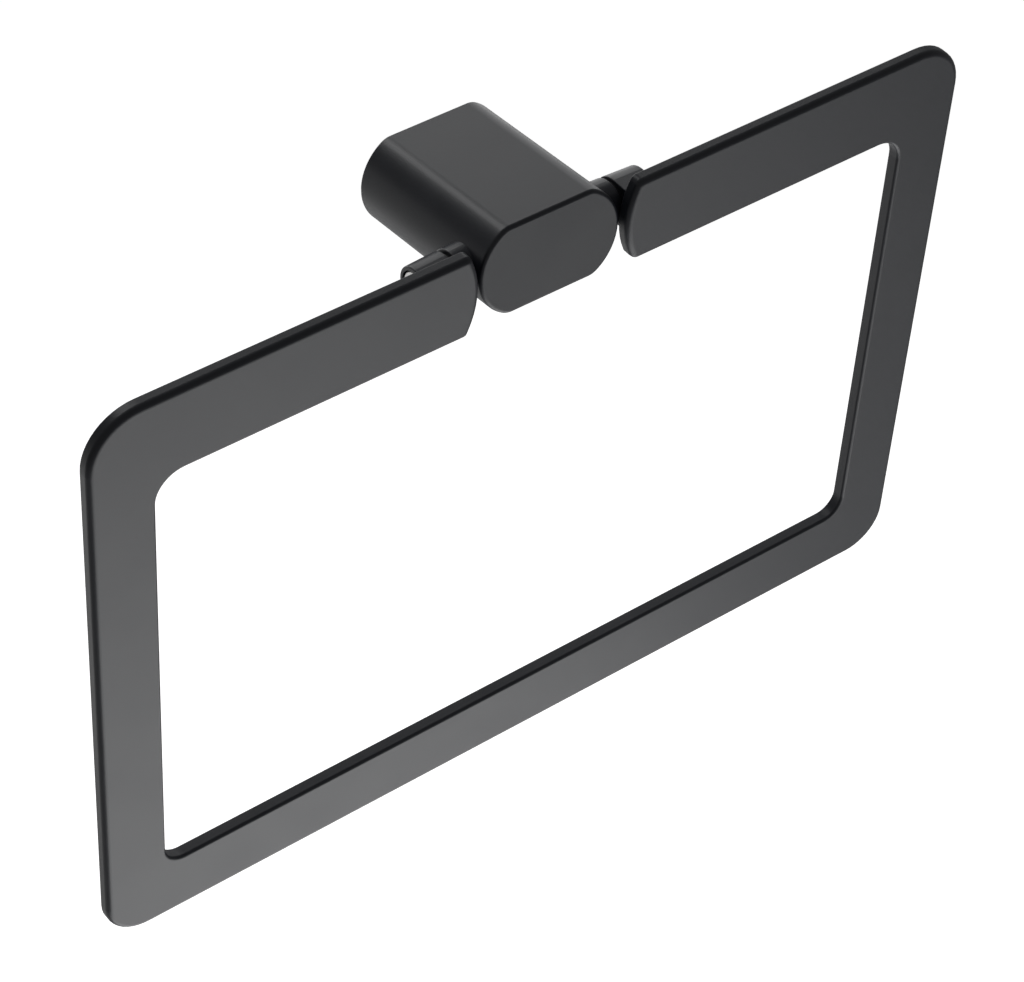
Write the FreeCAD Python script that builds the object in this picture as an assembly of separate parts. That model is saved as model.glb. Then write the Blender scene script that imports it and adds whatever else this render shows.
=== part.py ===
import FreeCAD, Part
import math
import os

# Towel ring: a flat rectangular ring hung on two side pivots of a short wall post.
# X runs to the right, Y towards the wall and Z up. The origin is the centre of the
# post's wall face. Lengths are in millimetres and angles in degrees.

# Post casting
POST_WIDTH = 40.0
POST_HEIGHT = 24.0
POST_SIDE_FLAT = 2.0
POST_LENGTH = 46.5
POST_FRONT_EDGE_RADIUS = 1.0
POST_WALL = 3.0
RECESS_DRAFT = 1.0

# Round stubs cast on the post's sides, on the pivot line
PIVOT_BEHIND_FRONT = 7.8
STUB_LENGTH = 3.0
STUB_EDGE_RADIUS = 0.3
PIVOT_DRAFT = 2.5

# Ring plate
RING_WIDTH = 250.0
RING_HEIGHT = 171.5
TOP_BAR_HEIGHT = 23.2
BOTTOM_BAR_HEIGHT = 18.4
SIDE_BAR_WIDTH = 16.8
PLATE_THICKNESS = 3.5
OUTER_TOP_RADIUS = 14.0
OUTER_BOTTOM_RADIUS = 11.5
WINDOW_TOP_RADIUS = 7.6
WINDOW_BOTTOM_RADIUS = 5.6
OUTER_EDGE_RADIUS = 1.5
WINDOW_EDGE_RADIUS = 0.8
REAR_EDGE_RADIUS = 0.25
ARM_END_RADIUS = 26.0
ARM_CORNER_RADIUS = 1.9

# Bosses cast on the back of the ring's two arms
BOSS_LENGTH = 8.8
BOSS_END_WALL = 1.0
BOSS_EDGE_RADIUS = 0.4
BOSS_ROOT_RADIUS = 0.5

# Flanged bushes pressed into the bosses
BUSH_FLANGE_THICKNESS = 1.0
BUSH_FLANGE_INSET = 1.1
BUSH_WALL = 0.8

# Shoulder screws that carry the ring
SHOULDER_RADIUS = 2.5
THREAD_RADIUS = 2.0
THREAD_LENGTH = 7.0
HEAD_RADIUS = 4.2
HEAD_HEIGHT = 2.2
HEAD_BELOW_BOSS_END = 0.25
HEAD_SOCKET_WIDTH = 2.5
HEAD_SOCKET_DEPTH = 1.3
SCREW_CHAMFER = 0.35

# Wall plate inside the post, with the block that the set screw bears on
WALL_PLATE_THICKNESS = 3.0
WALL_SCREW_SPACING = 21.0
WALL_HOLE_RADIUS = 2.25
WALL_SINK_RADIUS = 3.75
BLOCK_HEIGHT = 9.0
BLOCK_NOSE = 1.5

# Set screw under the post, and the pad inside the post that it is threaded through
LOCK_RADIUS = 2.0
LOCK_TIP_RADIUS = 0.8
LOCK_TIP_HEIGHT = 1.2
LOCK_SOCKET_WIDTH = 2.0
LOCK_SOCKET_DEPTH = 1.6
LOCK_BELOW_UNDERSIDE = 0.6
PAD_WALL = 2.2

# Clearances and fits
ARM_TO_POST = 1.3
PLATE_TO_STUB = 0.27
FLANGE_TO_STUB = 0.05
SHOULDER_IN_BUSH = 0.04
BUSH_IN_BOSS = 0.02
THREAD_IN_HOLE = 0.05
THREAD_HOLE_SPARE = 1.0
HEAD_IN_COUNTERBORE = 0.2
HEAD_TO_BUSH = 0.1
PLATE_IN_RECESS = 0.25
SINK_TO_BLOCK = 1.75
PAD_TO_PLATE = 1.3
PAD_TO_BLOCK = 2.0
LOCK_SEAT = 0.05

# Places and sizes that follow from the ones above
PIVOT_Y = PIVOT_BEHIND_FRONT - POST_LENGTH
STUB_ROOT_X = POST_WIDTH / 2
STUB_END_X = STUB_ROOT_X + STUB_LENGTH
BOSS_INNER_X = STUB_END_X + FLANGE_TO_STUB + BUSH_FLANGE_THICKNESS
BOSS_OUTER_X = BOSS_INNER_X + BOSS_LENGTH
HEAD_OUTER_X = BOSS_OUTER_X - HEAD_BELOW_BOSS_END
HEAD_INNER_X = HEAD_OUTER_X - HEAD_HEIGHT
COUNTERBORE_X = HEAD_INNER_X - HEAD_TO_BUSH
COUNTERBORE_RADIUS = HEAD_RADIUS + HEAD_IN_COUNTERBORE
DRAFT_SLOPE = math.tan(math.radians(PIVOT_DRAFT))
BOSS_END_RADIUS = COUNTERBORE_RADIUS + BOSS_END_WALL
STUB_ROOT_RADIUS = BOSS_END_RADIUS + (BOSS_OUTER_X - STUB_ROOT_X) * DRAFT_SLOPE
BUSH_BORE_RADIUS = SHOULDER_RADIUS + SHOULDER_IN_BUSH
BUSH_RADIUS = BUSH_BORE_RADIUS + BUSH_WALL
PLATE_REAR = STUB_ROOT_RADIUS + PLATE_TO_STUB
PLATE_FRONT = PLATE_REAR + PLATE_THICKNESS
RING_TOP = TOP_BAR_HEIGHT / 2
RING_BOTTOM = RING_TOP - RING_HEIGHT
WINDOW_TOP = RING_TOP - TOP_BAR_HEIGHT
WINDOW_BOTTOM = RING_BOTTOM + BOTTOM_BAR_HEIGHT
WINDOW_HALF_WIDTH = RING_WIDTH / 2 - SIDE_BAR_WIDTH
ARM_END_X = POST_WIDTH / 2 + ARM_TO_POST
THREAD_HOLE_RADIUS = THREAD_RADIUS + THREAD_IN_HOLE
RECESS_DEPTH = POST_LENGTH - PIVOT_BEHIND_FRONT - THREAD_HOLE_RADIUS - POST_WALL
PAD_RADIUS = LOCK_RADIUS + PAD_WALL
LOCK_Y = -WALL_PLATE_THICKNESS - PAD_TO_PLATE - PAD_RADIUS
BLOCK_LENGTH = LOCK_RADIUS + BLOCK_NOSE - LOCK_Y
BLOCK_WIDTH = WALL_SCREW_SPACING - 2 * (WALL_SINK_RADIUS + SINK_TO_BLOCK)

# How near two places are taken as the same, and how far a cutter passes a face
SAME = 1e-3
PAST = 1.0

Vector = FreeCAD.Vector
ORIGIN = Vector(0, 0, 0)
X_AXIS = Vector(1, 0, 0)
Y_AXIS = Vector(0, 1, 0)
Z_AXIS = Vector(0, 0, 1)
PIVOT = Vector(0, PIVOT_Y, 0)


def drafted_radius(x):
    """Radius of the tapered stub and boss at a distance from the middle of the post."""
    return STUB_ROOT_RADIUS - (x - STUB_ROOT_X) * DRAFT_SLOPE


def line(start, end):
    return Part.LineSegment(start, end).toShape()


def arc(start, middle, end):
    return Part.Arc(start, middle, end).toShape()


def rounded_wire(half_width, bottom, top, bottom_radius, top_radius, y):
    """Upright rectangle with rounded corners, in the plane at the given y."""
    corners = [
        (half_width - bottom_radius, bottom + bottom_radius, bottom_radius, -90),
        (half_width - top_radius, top - top_radius, top_radius, 0),
        (top_radius - half_width, top - top_radius, top_radius, 90),
        (bottom_radius - half_width, bottom + bottom_radius, bottom_radius, 180),
    ]
    last = Vector(bottom_radius - half_width, y, bottom)
    edges = []
    for x, z, radius, start_angle in corners:
        points = []
        for angle in (start_angle, start_angle + 45, start_angle + 90):
            turn = math.radians(angle)
            points.append(Vector(x + radius * math.cos(turn), y, z + radius * math.sin(turn)))
        edges.append(line(last, points[0]))
        edges.append(arc(*points))
        last = points[2]
    return Part.Wire(edges)


def post_wire(inset, y):
    """The post's outline, moved inwards by the inset."""
    half_height = POST_HEIGHT / 2 - inset
    radius = half_height - POST_SIDE_FLAT / 2
    return rounded_wire(POST_WIDTH / 2 - inset, -half_height, half_height, radius, radius, y)


def prism(wire, length):
    """Solid drawn out from a wire towards the wall."""
    return Part.Face(wire).extrude(Y_AXIS * length)


def turned(profile, centre=PIVOT):
    """Solid turned about a line along X, from a closed outline of (x, radius) points."""
    points = [centre + Vector(x, 0, radius) for x, radius in profile]
    return Part.Face(Part.makePolygon(points + points[:1])).revolve(centre, X_AXIS, 360)


def mirrored(shape):
    """The same shape on the left of the post."""
    return shape.mirror(ORIGIN, X_AXIS)


def edge_points(edge):
    first, last = edge.ParameterRange
    return [edge.valueAt(first), edge.valueAt((first + last) / 2), edge.valueAt(last)]


def edges_where(shape, test):
    """Edges of a shape whose two ends and middle all pass the test."""
    return [edge for edge in shape.Edges if all(test(point) for point in edge_points(edge))]


def hex_socket(width, depth, mouth, inwards, across):
    """Hexagonal driver socket, from the middle of its mouth into the screw."""
    radius = width / math.sqrt(3)
    upwards = inwards.cross(across)
    points = []
    for corner in range(7):
        turn = math.radians(60 * corner)
        points.append(mouth + across * (radius * math.cos(turn)) + upwards * (radius * math.sin(turn)))
    return Part.Face(Part.makePolygon(points)).extrude(inwards * depth)


def make_stub():
    """Right-hand stub, from inside the post's side out to its rounded end."""
    root_x = STUB_ROOT_X - POST_WALL
    stub = Part.makeCone(drafted_radius(root_x), drafted_radius(STUB_END_X), STUB_END_X - root_x,
                         PIVOT + X_AXIS * root_x, X_AXIS)
    rim = edges_where(stub, lambda point: abs(point.x - STUB_END_X) < SAME)
    return stub.makeFillet(STUB_EDGE_RADIUS, rim)


def thread_hole():
    """Blind hole for the right-hand pivot screw, with its drill point."""
    end_x = STUB_END_X - THREAD_LENGTH - THREAD_HOLE_SPARE
    mouth_x = STUB_END_X + PAST
    return turned([
        (end_x - THREAD_HOLE_RADIUS / 2, 0),
        (end_x, THREAD_HOLE_RADIUS),
        (mouth_x, THREAD_HOLE_RADIUS),
        (mouth_x, 0),
    ])


def make_post():
    """Hollow casting with a stub on each side, threaded for the pivot and lock screws."""
    body = prism(post_wire(0, -POST_LENGTH), POST_LENGTH)
    front = edges_where(body, lambda point: abs(point.y + POST_LENGTH) < SAME)
    body = body.makeFillet(POST_FRONT_EDGE_RADIUS, front)
    floor_inset = POST_WALL + RECESS_DEPTH * math.tan(math.radians(RECESS_DRAFT))
    recess = Part.makeLoft([post_wire(POST_WALL, 0), post_wire(floor_inset, -RECESS_DEPTH)], True, True)
    body = body.cut(recess)

    underside = -POST_HEIGHT / 2
    pad_bottom = underside + POST_WALL / 2
    pad_top = -BLOCK_HEIGHT / 2 - PAD_TO_BLOCK
    pad = Part.makeCylinder(PAD_RADIUS, pad_top - pad_bottom, Vector(0, LOCK_Y, pad_bottom), Z_AXIS)
    lock_hole = Part.makeCylinder(LOCK_RADIUS + THREAD_IN_HOLE, pad_top - underside + 2 * PAST,
                                  Vector(0, LOCK_Y, underside - PAST), Z_AXIS)
    stub = make_stub()
    hole = thread_hole()
    body = body.fuse([pad, stub, mirrored(stub)])
    return body.cut([lock_hole, hole, mirrored(hole)]).removeSplitter()


def make_wall_plate():
    """Plate that is screwed to the wall, with a block that reaches into the post."""
    plate = prism(post_wire(POST_WALL + PLATE_IN_RECESS, -WALL_PLATE_THICKNESS), WALL_PLATE_THICKNESS)
    block_corner = Vector(-BLOCK_WIDTH / 2, -BLOCK_LENGTH, -BLOCK_HEIGHT / 2)
    plate = plate.fuse(Part.makeBox(BLOCK_WIDTH, BLOCK_LENGTH, BLOCK_HEIGHT, block_corner))
    cutters = []
    for side in (-1, 1):
        face = Vector(side * WALL_SCREW_SPACING / 2, -WALL_PLATE_THICKNESS, 0)
        cutters.append(Part.makeCylinder(WALL_HOLE_RADIUS, WALL_PLATE_THICKNESS, face, Y_AXIS))
        cutters.append(Part.makeCone(WALL_SINK_RADIUS, WALL_HOLE_RADIUS,
                                     WALL_SINK_RADIUS - WALL_HOLE_RADIUS, face, Y_AXIS))
    block_bottom = -BLOCK_HEIGHT / 2
    cutters.append(Part.makeCylinder(LOCK_RADIUS, LOCK_SEAT, Vector(0, LOCK_Y, block_bottom), Z_AXIS))
    cutters.append(Part.makeCone(LOCK_RADIUS, LOCK_TIP_RADIUS, LOCK_TIP_HEIGHT,
                                 Vector(0, LOCK_Y, block_bottom + LOCK_SEAT), Z_AXIS))
    return plate.cut(cutters).removeSplitter()


def make_lock_screw():
    """Set screw with a cone point, driven up through the post's underside."""
    bottom = LOCK_BELOW_UNDERSIDE - POST_HEIGHT / 2
    block_bottom = -BLOCK_HEIGHT / 2
    place = Vector(0, LOCK_Y, bottom)
    shank = Part.makeCylinder(LOCK_RADIUS, block_bottom - bottom, place, Z_AXIS)
    point = Part.makeCone(LOCK_RADIUS, LOCK_TIP_RADIUS, LOCK_TIP_HEIGHT,
                          Vector(0, LOCK_Y, block_bottom), Z_AXIS)
    socket = hex_socket(LOCK_SOCKET_WIDTH, LOCK_SOCKET_DEPTH, place, Z_AXIS, X_AXIS)
    return shank.fuse(point).cut(socket).removeSplitter()


def gap_cutter():
    """Space between the arms. Its hollow sides leave the arm ends bulging to the post."""
    reach = RING_TOP + PAST
    corner_x = ARM_END_X + ARM_END_RADIUS - math.sqrt(ARM_END_RADIUS ** 2 - reach ** 2)
    y = -PLATE_FRONT - PAST
    top_left = Vector(-corner_x, y, reach)
    top_right = Vector(corner_x, y, reach)
    bottom_right = Vector(corner_x, y, -reach)
    bottom_left = Vector(-corner_x, y, -reach)
    return prism(Part.Wire([
        line(top_left, top_right),
        arc(top_right, Vector(ARM_END_X, y, 0), bottom_right),
        line(bottom_right, bottom_left),
        arc(bottom_left, Vector(-ARM_END_X, y, 0), top_left),
    ]), PLATE_THICKNESS + 2 * PAST)


def on_window(point):
    """Whether a point of the plate lies on the window's outline or under an arm."""
    return (abs(point.x) < WINDOW_HALF_WIDTH + SAME
            and WINDOW_BOTTOM - SAME < point.z < WINDOW_TOP + SAME)


def round_front_edges(plate):
    """Large radius round the outside and the arm ends, small radius round the window."""
    document = FreeCAD.newDocument("ring_edges")
    sharp = document.addObject("Part::Feature", "sharp_plate")
    sharp.Shape = plate
    rounded = document.addObject("Part::Fillet", "rounded_plate")
    rounded.Base = sharp
    radii = []
    for number, edge in enumerate(plate.Edges, start=1):
        points = edge_points(edge)
        if all(abs(point.y + PLATE_FRONT) < SAME for point in points):
            radius = WINDOW_EDGE_RADIUS if all(on_window(point) for point in points) else OUTER_EDGE_RADIUS
            radii.append((number, radius, radius))
    rounded.Edges = radii
    document.recompute()
    return rounded.Shape.copy()


def make_plate():
    """Flat ring, open at the top between its two arms."""
    outside = prism(rounded_wire(RING_WIDTH / 2, RING_BOTTOM, RING_TOP, OUTER_BOTTOM_RADIUS,
                                 OUTER_TOP_RADIUS, -PLATE_FRONT), PLATE_THICKNESS)
    window = prism(rounded_wire(WINDOW_HALF_WIDTH, WINDOW_BOTTOM, WINDOW_TOP, WINDOW_BOTTOM_RADIUS,
                                WINDOW_TOP_RADIUS, -PLATE_FRONT - PAST), PLATE_THICKNESS + 2 * PAST)
    plate = outside.cut([window, gap_cutter()]).Solids[0]
    arm_corners = []
    for edge in plate.Edges:
        front, _, rear = edge_points(edge)
        runs_back = abs(front.y - rear.y) > PLATE_THICKNESS / 2
        at_bar_edge = abs(abs(front.z) - RING_TOP) < SAME
        if runs_back and at_bar_edge and abs(front.x) < ARM_END_X + TOP_BAR_HEIGHT / 2:
            arm_corners.append(edge)
    plate = round_front_edges(plate.makeFillet(ARM_CORNER_RADIUS, arm_corners))
    rear = edges_where(plate, lambda point: abs(point.y + PLATE_REAR) < SAME)
    return plate.makeFillet(REAR_EDGE_RADIUS, rear)


def boss_section(x):
    """Boss outline at one x: round behind, with flats that run forward into the plate."""
    radius = drafted_radius(x)
    front = -PLATE_REAR - PLATE_THICKNESS / 2
    return Part.Wire([
        line(Vector(x, front, radius), Vector(x, 0, radius)),
        arc(Vector(x, 0, radius), Vector(x, radius, 0), Vector(x, 0, -radius)),
        line(Vector(x, 0, -radius), Vector(x, front, -radius)),
        line(Vector(x, front, -radius), Vector(x, front, radius)),
    ])


def make_boss():
    """Right-hand boss with its rounded ends."""
    boss = Part.makeLoft([boss_section(BOSS_INNER_X), boss_section(BOSS_OUTER_X)], True, True)
    for x, radius in ((BOSS_OUTER_X, BOSS_EDGE_RADIUS), (BOSS_INNER_X, STUB_EDGE_RADIUS)):
        rim = []
        for edge in edges_where(boss, lambda point: abs(point.x - x) < SAME):
            if max(point.y for point in edge_points(edge)) > -PLATE_REAR:
                rim.append(edge)
        boss = boss.makeFillet(radius, rim)
    return boss


def pivot_bore():
    """Hole through the right-hand boss for the bush, and the screw head's counterbore."""
    bore_radius = BUSH_RADIUS + BUSH_IN_BOSS
    return turned([
        (BOSS_INNER_X - PAST, 0),
        (BOSS_INNER_X - PAST, bore_radius),
        (COUNTERBORE_X, bore_radius),
        (COUNTERBORE_X, COUNTERBORE_RADIUS),
        (BOSS_OUTER_X + PAST, COUNTERBORE_RADIUS),
        (BOSS_OUTER_X + PAST, 0),
    ], ORIGIN)


def make_upright_ring():
    """Ring casting standing upright, with its pivot line along X through the origin."""
    boss = make_boss()
    ring = make_plate().fuse([boss, mirrored(boss)]).removeSplitter()
    widest = STUB_ROOT_RADIUS + BOSS_ROOT_RADIUS
    roots = edges_where(ring, lambda point: (
        abs(point.y + PLATE_REAR) < SAME and abs(point.z) < widest
        and BOSS_INNER_X - SAME < abs(point.x) < BOSS_OUTER_X + SAME))
    ring = ring.makeFillet(BOSS_ROOT_RADIUS, roots)
    bore = pivot_bore()
    return ring.cut([bore, mirrored(bore)]).removeSplitter().Solids[0]


def hung(shape):
    """A shape drawn upright about the pivot line, turned until its weight hangs under it."""
    centre = shape.CenterOfMass
    lean = math.degrees(math.atan2(-centre.y, -centre.z))
    shape.rotate(ORIGIN, X_AXIS, lean)
    shape.translate(PIVOT)
    return shape


def make_bush():
    """Right-hand bush, whose flange keeps the boss clear of the stub."""
    flange_radius = drafted_radius(STUB_END_X) - BUSH_FLANGE_INSET
    flange_face_x = STUB_END_X + FLANGE_TO_STUB
    return turned([
        (flange_face_x, BUSH_BORE_RADIUS),
        (flange_face_x, flange_radius),
        (BOSS_INNER_X, flange_radius),
        (BOSS_INNER_X, BUSH_RADIUS),
        (COUNTERBORE_X, BUSH_RADIUS),
        (COUNTERBORE_X, BUSH_BORE_RADIUS),
    ])


def make_pivot_screw():
    """Right-hand shoulder screw: thread in the stub, shoulder in the bush, head in the boss."""
    tip_x = STUB_END_X - THREAD_LENGTH
    screw = turned([
        (tip_x, 0),
        (tip_x, THREAD_RADIUS - SCREW_CHAMFER),
        (tip_x + SCREW_CHAMFER, THREAD_RADIUS),
        (STUB_END_X, THREAD_RADIUS),
        (STUB_END_X, SHOULDER_RADIUS),
        (HEAD_INNER_X, SHOULDER_RADIUS),
        (HEAD_INNER_X, HEAD_RADIUS),
        (HEAD_OUTER_X - SCREW_CHAMFER, HEAD_RADIUS),
        (HEAD_OUTER_X, HEAD_RADIUS - SCREW_CHAMFER),
        (HEAD_OUTER_X, 0),
    ])
    mouth = PIVOT + X_AXIS * HEAD_OUTER_X
    return screw.cut(hex_socket(HEAD_SOCKET_WIDTH, HEAD_SOCKET_DEPTH, mouth, X_AXIS * -1, Z_AXIS))


def save(name, shape):
    shape.exportStep(os.path.join("parts", name + ".step"))


def main():
    os.makedirs("parts", exist_ok=True)
    save("post", make_post())
    save("wall_plate", make_wall_plate())
    save("lock_screw", make_lock_screw())
    save("ring_frame", hung(make_upright_ring()))
    for name, shape in (("pivot_bush", make_bush()), ("pivot_screw", make_pivot_screw())):
        save("right_" + name, shape)
        save("left_" + name, mirrored(shape))


main()
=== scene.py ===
import math

import bpy
from mathutils import Matrix, Vector


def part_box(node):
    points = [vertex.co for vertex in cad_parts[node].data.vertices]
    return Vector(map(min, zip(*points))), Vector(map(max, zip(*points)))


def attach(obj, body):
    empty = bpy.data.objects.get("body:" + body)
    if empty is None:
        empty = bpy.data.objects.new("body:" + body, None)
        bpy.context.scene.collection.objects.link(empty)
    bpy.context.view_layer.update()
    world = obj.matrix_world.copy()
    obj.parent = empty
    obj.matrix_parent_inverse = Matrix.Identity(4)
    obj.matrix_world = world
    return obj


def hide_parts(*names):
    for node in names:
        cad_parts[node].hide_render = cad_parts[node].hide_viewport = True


# Towel ring. The row frame is in metres: X runs to the right, Y into the wall and Z up.
# The origin is the centre of the post's wall face.

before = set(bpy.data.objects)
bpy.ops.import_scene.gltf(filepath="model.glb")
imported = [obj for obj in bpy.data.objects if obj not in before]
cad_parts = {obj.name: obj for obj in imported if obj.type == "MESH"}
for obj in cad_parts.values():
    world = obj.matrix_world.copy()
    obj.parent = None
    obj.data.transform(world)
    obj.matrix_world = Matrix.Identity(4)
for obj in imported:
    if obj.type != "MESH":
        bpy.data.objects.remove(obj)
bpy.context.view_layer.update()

MM = 0.001

# Camera: where it stands, the way it looks, its tilt about that line and its lens
CAMERA_PLACE = (-0.39091, -0.55726, 0.45923)
CAMERA_AZIMUTH = -36.573
CAMERA_ELEVATION = 39.476
CAMERA_ROLL = 0.943
LENS_MM = 121.454
SENSOR_MM = 36.0
CLIP_START = 0.01
CLIP_END = 100

# Floor far under the part, as under a part on a wall
FLOOR_Z = -1.25
FLOOR_SIZE = 40.0
FLOOR_COLOUR = (0.80, 0.80, 0.80, 1)

# White background: how strong it is to the camera, and what share of that a glossy surface sees
BACKGROUND = 0.97
GLOSSY_SHARE = 0.15

# Soft lamps: name, azimuth, elevation, distance, width and height in metres, and power in watts
LAMP_TARGET = Vector((0, -0.03, -0.07))
LAMPS = [
    ("back", 158, 12, 1.5, 1.66, 1.98, 11.7),
    ("below", 14, -72, 1.0, 0.87, 0.75, 4.0),
    ("front", 18, -39, 1.5, 1.40, 1.07, 5.5),
    ("back_left", -161, -17, 1.5, 2.10, 1.61, 4.3),
    ("high", -177, 44, 1.5, 0.70, 0.99, 4.2),
]
WORLD_STRENGTH = 0.03

# Middle part of a noise texture's range, which holds nearly all of its values
NOISE_LOW = 0.3
NOISE_HIGH = 0.7

# Black coat: colours, roughness, and the sizes of its grain and of its faint unevenness
COAT_DARK = (0.020, 0.023, 0.031, 1)
COAT_LIGHT = (0.025, 0.028, 0.037, 1)
COAT_ROUGHNESS = (0.32, 0.36)
COAT_GRAIN = 0.35 * MM
COAT_GRAIN_HEIGHT = 0.012 * MM
COAT_PATCH = 14 * MM

# Outer skin of the post as the CAD has it: half its width and height, where its front is, and the
# radii of its corners and front edge
POST_HALF_WIDTH = 20 * MM
POST_HALF_HEIGHT = 12 * MM
POST_FRONT = -46.5 * MM
CAD_CORNER_RADIUS = 11 * MM
CAD_EDGE_RADIUS = 1 * MM

# The skin that the photo shows: a flat arc at the side that meets the top in a smaller crest. Up to the
# kept height a point of the skin only moves sideways.
SIDE_RADIUS = 13.2 * MM
CREST_RADIUS = 5.1 * MM
EDGE_RADIUS = 1.0 * MM
FINE_FRONT = -46.8 * MM
KEPT_HEIGHT = 10 * MM

# How near to the CAD's skin a point has to be, and how alike two normals have to be, to be part of it
ON_SKIN = 0.01 * MM
SAME_FACE = 0.9

# Bright steel of the pivot screws, with the fine rings that turning leaves on it
STEEL_COLOUR = (0.80, 0.79, 0.78, 1)
STEEL_ROUGHNESS = (0.22, 0.34)
TURNING_PITCH = 0.16 * MM
TURNING_HEIGHT = 0.004 * MM
SMEAR_SIZE = 0.8 * MM

# The wave texture's rings are a full turn of its scale apart, divided by this
WAVE_DIVISOR = 20

# Rolled steel of the wall plate, with lines along its width
PLATE_COLOUR = (0.60, 0.61, 0.62, 1)
PLATE_DARK = (0.50, 0.51, 0.53, 1)
PLATE_ROUGHNESS = (0.30, 0.45)
ROLLING_LENGTH = 12 * MM
ROLLING_WIDTH = 0.25 * MM
ROLLING_HEIGHT = 0.008 * MM

# Dark oxide of the lock screw and black nylon of the bushes, and the depth of the mottle on both
OXIDE_COLOUR = (0.055, 0.056, 0.060, 1)
OXIDE_LIGHT = (0.11, 0.11, 0.115, 1)
OXIDE_GRAIN = 0.3 * MM
OXIDE_ROUGHNESS = (0.35, 0.5)
OXIDE_METALLIC = 0.6
NYLON_COLOUR = (0.014, 0.014, 0.016, 1)
NYLON_LIGHT = (0.022, 0.022, 0.024, 1)
NYLON_GRAIN = 0.4 * MM
NYLON_ROUGHNESS = (0.45, 0.6)
MOTTLE_HEIGHT = 0.01 * MM


def outward(azimuth, elevation):
    """Unit vector from the part towards a viewer at that azimuth and elevation."""
    a, e = math.radians(azimuth), math.radians(elevation)
    return Vector((math.sin(a) * math.cos(e), -math.cos(a) * math.cos(e), math.sin(e)))


def make_camera():
    camera = bpy.data.objects.new("camera", bpy.data.cameras.new("camera"))
    bpy.context.scene.collection.objects.link(camera)
    camera.data.sensor_width = SENSOR_MM
    camera.data.lens = LENS_MM
    camera.data.clip_start = CLIP_START
    camera.data.clip_end = CLIP_END
    back = outward(CAMERA_AZIMUTH, CAMERA_ELEVATION)
    right = Vector((0, 0, 1)).cross(back).normalized()
    up = back.cross(right)
    turn = Matrix((right, up, back)).transposed().to_4x4()
    camera.matrix_world = (Matrix.Translation(CAMERA_PLACE) @ turn
                           @ Matrix.Rotation(math.radians(-CAMERA_ROLL), 4, "Z"))
    bpy.context.scene.camera = camera


def make_lamps():
    for name, azimuth, elevation, distance, width, height, power in LAMPS:
        lamp = bpy.data.lights.new(name, "AREA")
        lamp.shape = "RECTANGLE"
        lamp.size = width
        lamp.size_y = height
        lamp.energy = power
        place = bpy.data.objects.new(name, lamp)
        direction = outward(azimuth, elevation)
        place.location = LAMP_TARGET + direction * distance
        place.rotation_euler = direction.to_track_quat("Z", "Y").to_euler()
        place.visible_camera = False
        bpy.context.scene.collection.objects.link(place)


def add_node(tree, kind, inputs=None, **settings):
    """New shader node with the given socket values and settings."""
    node = tree.nodes.new("ShaderNode" + kind)
    for name, value in settings.items():
        setattr(node, name, value)
    for name, value in (inputs or {}).items():
        node.inputs[name].default_value = value
    return node


def background_glow(tree):
    """Strength of the white background: full to the camera, and a share of it to gloss and glass."""
    path = add_node(tree, "LightPath")
    bent = add_node(tree, "Math", operation="MAXIMUM")
    tree.links.new(path.outputs["Is Glossy Ray"], bent.inputs[0])
    tree.links.new(path.outputs["Is Transmission Ray"], bent.inputs[1])
    share = add_node(tree, "Math", {1: GLOSSY_SHARE}, operation="MULTIPLY")
    tree.links.new(bent.outputs["Value"], share.inputs[0])
    seen = add_node(tree, "Math", operation="MAXIMUM")
    tree.links.new(path.outputs["Is Camera Ray"], seen.inputs[0])
    tree.links.new(share.outputs["Value"], seen.inputs[1])
    level = add_node(tree, "Math", {1: BACKGROUND}, operation="MULTIPLY")
    tree.links.new(seen.outputs["Value"], level.inputs[0])
    return level.outputs["Value"]


def make_world():
    world = bpy.data.worlds.new("studio")
    bpy.context.scene.world = world
    world.use_nodes = True
    tree = world.node_tree
    tree.nodes.clear()
    output = add_node(tree, "OutputWorld")
    ambient = add_node(tree, "Background", {"Color": (1, 1, 1, 1)})
    level = add_node(tree, "Math", {1: WORLD_STRENGTH}, operation="ADD")
    tree.links.new(background_glow(tree), level.inputs[0])
    tree.links.new(level.outputs["Value"], ambient.inputs["Strength"])
    tree.links.new(ambient.outputs[0], output.inputs["Surface"])


def make_floor():
    mesh = bpy.data.meshes.new("floor")
    half = FLOOR_SIZE / 2
    mesh.from_pydata([(-half, -half, FLOOR_Z), (half, -half, FLOOR_Z), (half, half, FLOOR_Z),
                      (-half, half, FLOOR_Z)], [], [(0, 1, 2, 3)])
    floor = bpy.data.objects.new("floor", mesh)
    bpy.context.scene.collection.objects.link(floor)
    material = bpy.data.materials.new("floor")
    material.use_nodes = True
    tree = material.node_tree
    tree.nodes.clear()
    output = add_node(tree, "OutputMaterial")
    diffuse = add_node(tree, "BsdfDiffuse", {"Color": FLOOR_COLOUR})
    glow = add_node(tree, "Emission", {"Color": (1, 1, 1, 1)})
    both = add_node(tree, "AddShader")
    tree.links.new(background_glow(tree), glow.inputs["Strength"])
    tree.links.new(diffuse.outputs[0], both.inputs[0])
    tree.links.new(glow.outputs[0], both.inputs[1])
    tree.links.new(both.outputs[0], output.inputs["Surface"])
    mesh.materials.append(material)


def new_material(name, metallic=0.0):
    """Material with its shader and the object's own coordinates."""
    material = bpy.data.materials.new(name)
    material.use_nodes = True
    tree = material.node_tree
    shader = tree.nodes["Principled BSDF"]
    shader.inputs["Metallic"].default_value = metallic
    place = add_node(tree, "TexCoord").outputs["Object"]
    return material, tree, shader, place


def noise(tree, place, size, detail=2.0):
    """Noise whose features are about the given size."""
    texture = add_node(tree, "TexNoise", {"Scale": 1 / size, "Detail": detail})
    tree.links.new(place, texture.inputs["Vector"])
    return texture.outputs["Fac"]


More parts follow.
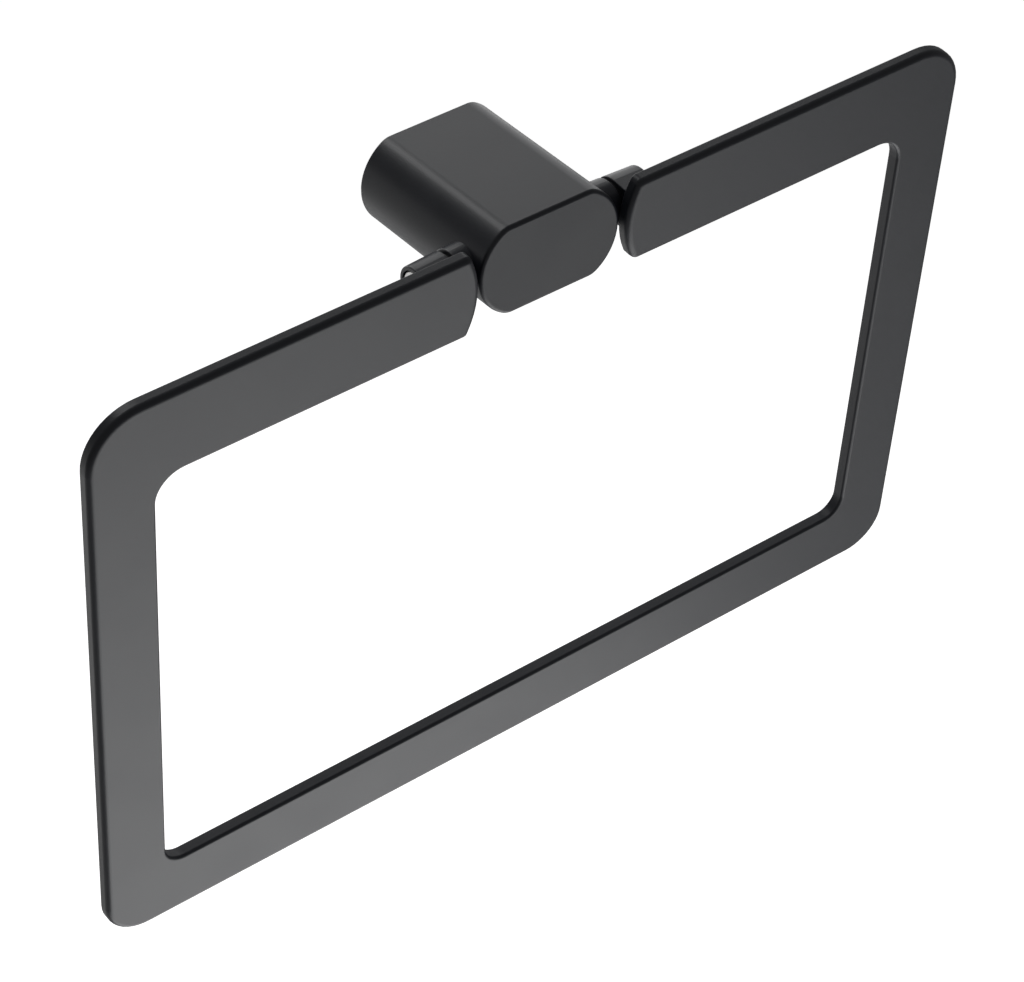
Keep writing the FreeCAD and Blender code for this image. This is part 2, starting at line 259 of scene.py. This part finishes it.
def between(tree, factor, low, high):
    """Value that goes from low to high as the factor goes through the middle of its range."""
    step = add_node(tree, "MapRange", {
        "From Min": NOISE_LOW, "From Max": NOISE_HIGH, "To Min": low, "To Max": high})
    tree.links.new(factor, step.inputs["Value"])
    return step.outputs["Result"]


def blend_colours(tree, factor, first, second):
    mix = add_node(tree, "Mix", data_type="RGBA")
    mix.inputs["A"].default_value = first
    mix.inputs["B"].default_value = second
    tree.links.new(factor, mix.inputs["Factor"])
    return mix.outputs["Result"]


def bump(tree, shader, height, distance):
    relief = add_node(tree, "Bump", {"Strength": 1.0, "Distance": distance})
    tree.links.new(height, relief.inputs["Height"])
    tree.links.new(relief.outputs["Normal"], shader.inputs["Normal"])


def black_coat():
    """Baked matt coat: a fine grain, and a faint unevenness in colour and gloss."""
    material, tree, shader, place = new_material("black_coat")
    patches = noise(tree, place, COAT_PATCH, 3.0)
    grain = noise(tree, place, COAT_GRAIN)
    colour = blend_colours(tree, between(tree, patches, 0, 1), COAT_DARK, COAT_LIGHT)
    tree.links.new(colour, shader.inputs["Base Color"])
    tree.links.new(between(tree, patches, *COAT_ROUGHNESS), shader.inputs["Roughness"])
    bump(tree, shader, grain, COAT_GRAIN_HEIGHT)
    return material


def turned_steel(screw):
    """Bright steel with rings about the pivot line of the named screw."""
    material, tree, shader, place = new_material("bright_steel", metallic=1.0)
    low, high = (Vector(corner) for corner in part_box(screw))
    middle = (low + high) / 2
    centred = add_node(tree, "Mapping")
    centred.inputs["Location"].default_value = (0, -middle.y, -middle.z)
    tree.links.new(place, centred.inputs["Vector"])
    rings = add_node(tree, "TexWave", {"Scale": math.tau / (WAVE_DIVISOR * TURNING_PITCH)},
                     wave_type="RINGS", rings_direction="X")
    tree.links.new(centred.outputs["Vector"], rings.inputs["Vector"])
    smears = noise(tree, place, SMEAR_SIZE)
    shader.inputs["Base Color"].default_value = STEEL_COLOUR
    tree.links.new(between(tree, smears, *STEEL_ROUGHNESS), shader.inputs["Roughness"])
    bump(tree, shader, rings.outputs["Fac"], TURNING_HEIGHT)
    return material


def rolled_steel():
    """Plain steel sheet with fine lines along its width."""
    material, tree, shader, place = new_material("plate_steel", metallic=1.0)
    stretched = add_node(tree, "Mapping")
    stretched.inputs["Scale"].default_value = (ROLLING_WIDTH / ROLLING_LENGTH, 1, 1)
    tree.links.new(place, stretched.inputs["Vector"])
    lines = noise(tree, stretched.outputs["Vector"], ROLLING_WIDTH)
    colour = blend_colours(tree, lines, PLATE_DARK, PLATE_COLOUR)
    tree.links.new(colour, shader.inputs["Base Color"])
    tree.links.new(between(tree, lines, *PLATE_ROUGHNESS), shader.inputs["Roughness"])
    bump(tree, shader, lines, ROLLING_HEIGHT)
    return material


def mottled(name, first, second, size, roughness, metallic=0.0):
    """Plain finish with a fine mottle in its colour, gloss and surface."""
    material, tree, shader, place = new_material(name, metallic)
    grain = noise(tree, place, size, 3.0)
    tree.links.new(blend_colours(tree, grain, first, second), shader.inputs["Base Color"])
    tree.links.new(between(tree, grain, *roughness), shader.inputs["Roughness"])
    bump(tree, shader, grain, MOTTLE_HEIGHT)
    return material


def cad_skin(x, z):
    """Angle of the CAD outline's normal near a point of its right upper quarter, and the depth below it."""
    middle_x = POST_HALF_WIDTH - CAD_CORNER_RADIUS
    middle_z = POST_HALF_HEIGHT - CAD_CORNER_RADIUS
    if x < middle_x - ON_SKIN:
        return None, POST_HALF_HEIGHT - z
    if z < middle_z:
        return 0.0, POST_HALF_WIDTH - x
    depth = CAD_CORNER_RADIUS - math.hypot(x - middle_x, z - middle_z)
    return math.atan2(z - middle_z, x - middle_x), depth


def fine_skin(angle, z):
    """Place and normal angle on the finer outline that stand for a point of the CAD outline."""
    middle_x = POST_HALF_WIDTH - SIDE_RADIUS
    crest_z = POST_HALF_HEIGHT - CREST_RADIUS
    crest_x = middle_x + math.sqrt((SIDE_RADIUS - CREST_RADIUS) ** 2 - crest_z ** 2)
    crest_start = math.atan2(crest_z, crest_x - middle_x)
    height = z if angle == 0 else POST_HALF_HEIGHT - CAD_CORNER_RADIUS * (1 - math.sin(angle))
    turned = math.asin(min(height, KEPT_HEIGHT) / SIDE_RADIUS)
    if height > KEPT_HEIGHT:
        start = math.asin(1 - (POST_HALF_HEIGHT - KEPT_HEIGHT) / CAD_CORNER_RADIUS)
        share = (angle - start) / (math.pi / 2 - start)
        side_run = SIDE_RADIUS * (crest_start - turned)
        run = share * (side_run + CREST_RADIUS * (math.pi / 2 - crest_start))
        if run > side_run:
            turned = min(crest_start + (run - side_run) / CREST_RADIUS, math.pi / 2)
            x = crest_x + CREST_RADIUS * math.cos(turned)
            return x, crest_z + CREST_RADIUS * math.sin(turned), turned
        turned += run / SIDE_RADIUS
    return middle_x + SIDE_RADIUS * math.cos(turned), SIDE_RADIUS * math.sin(turned), turned


def moved_skin(point):
    """New place of a point of the CAD post, and its old and new normal, or None away from the outer skin."""
    rise = (POST_FRONT + CAD_EDGE_RADIUS - point.y) / CAD_EDGE_RADIUS
    lean = math.asin(min(max(rise, 0), 1))
    angle, depth = cad_skin(abs(point.x), abs(point.z))
    if abs(depth - CAD_EDGE_RADIUS * (1 - math.cos(lean))) > ON_SKIN:
        return None
    side = Vector((math.copysign(1, point.x), 1, math.copysign(1, point.z)))
    y = point.y
    if rise > -ON_SKIN / CAD_EDGE_RADIUS:
        y = FINE_FRONT + EDGE_RADIUS * (1 - math.sin(lean))
    if angle is None:
        x, z, old, new = abs(point.x), POST_HALF_HEIGHT, math.pi / 2, math.pi / 2
    else:
        x, z, new = fine_skin(angle, abs(point.z))
        old = angle
    inset = EDGE_RADIUS * (1 - math.cos(lean))
    place = Vector((x - inset * math.cos(new), y, z - inset * math.sin(new))) * side
    normals = [Vector((math.cos(a) * math.cos(lean), -math.sin(lean), math.sin(a) * math.cos(lean))) * side
               for a in (old, new)]
    return place, normals[0], normals[1]


def make_post():
    """Post with the CAD node's stubs, recess and holes, and a finer outer skin with smooth normals."""
    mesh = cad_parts["post"].data.copy()
    mesh.name = "post_body"
    moves = [moved_skin(vertex.co) for vertex in mesh.vertices]
    normals = [corner.vector.copy() for corner in mesh.corner_normals]
    for loop in mesh.loops:
        move = moves[loop.vertex_index]
        if move and normals[loop.index].dot(move[1]) > SAME_FACE:
            normals[loop.index] = move[2]
    for vertex, move in zip(mesh.vertices, moves):
        if move:
            vertex.co = move[0]
    mesh.normals_split_custom_set(normals)
    post = bpy.data.objects.new("post_body", mesh)
    bpy.context.scene.collection.objects.link(post)
    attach(post, "post")
    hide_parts("post")
    return post


def dress(material, *nodes):
    for node in nodes:
        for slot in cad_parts[node].material_slots:
            slot.material = material


make_camera()
make_lamps()
make_world()
make_floor()
coat = black_coat()
dress(coat, "ring_frame")
make_post().data.materials[0] = coat
dress(turned_steel("left_pivot_screw"), "left_pivot_screw", "right_pivot_screw")
dress(rolled_steel(), "wall_plate")
dress(mottled("dark_steel", OXIDE_COLOUR, OXIDE_LIGHT, OXIDE_GRAIN, OXIDE_ROUGHNESS, OXIDE_METALLIC),
      "lock_screw")
dress(mottled("bush_nylon", NYLON_COLOUR, NYLON_LIGHT, NYLON_GRAIN, NYLON_ROUGHNESS),
      "left_pivot_bush", "right_pivot_bush")

bpy.context.scene.view_settings.view_transform = "Standard"
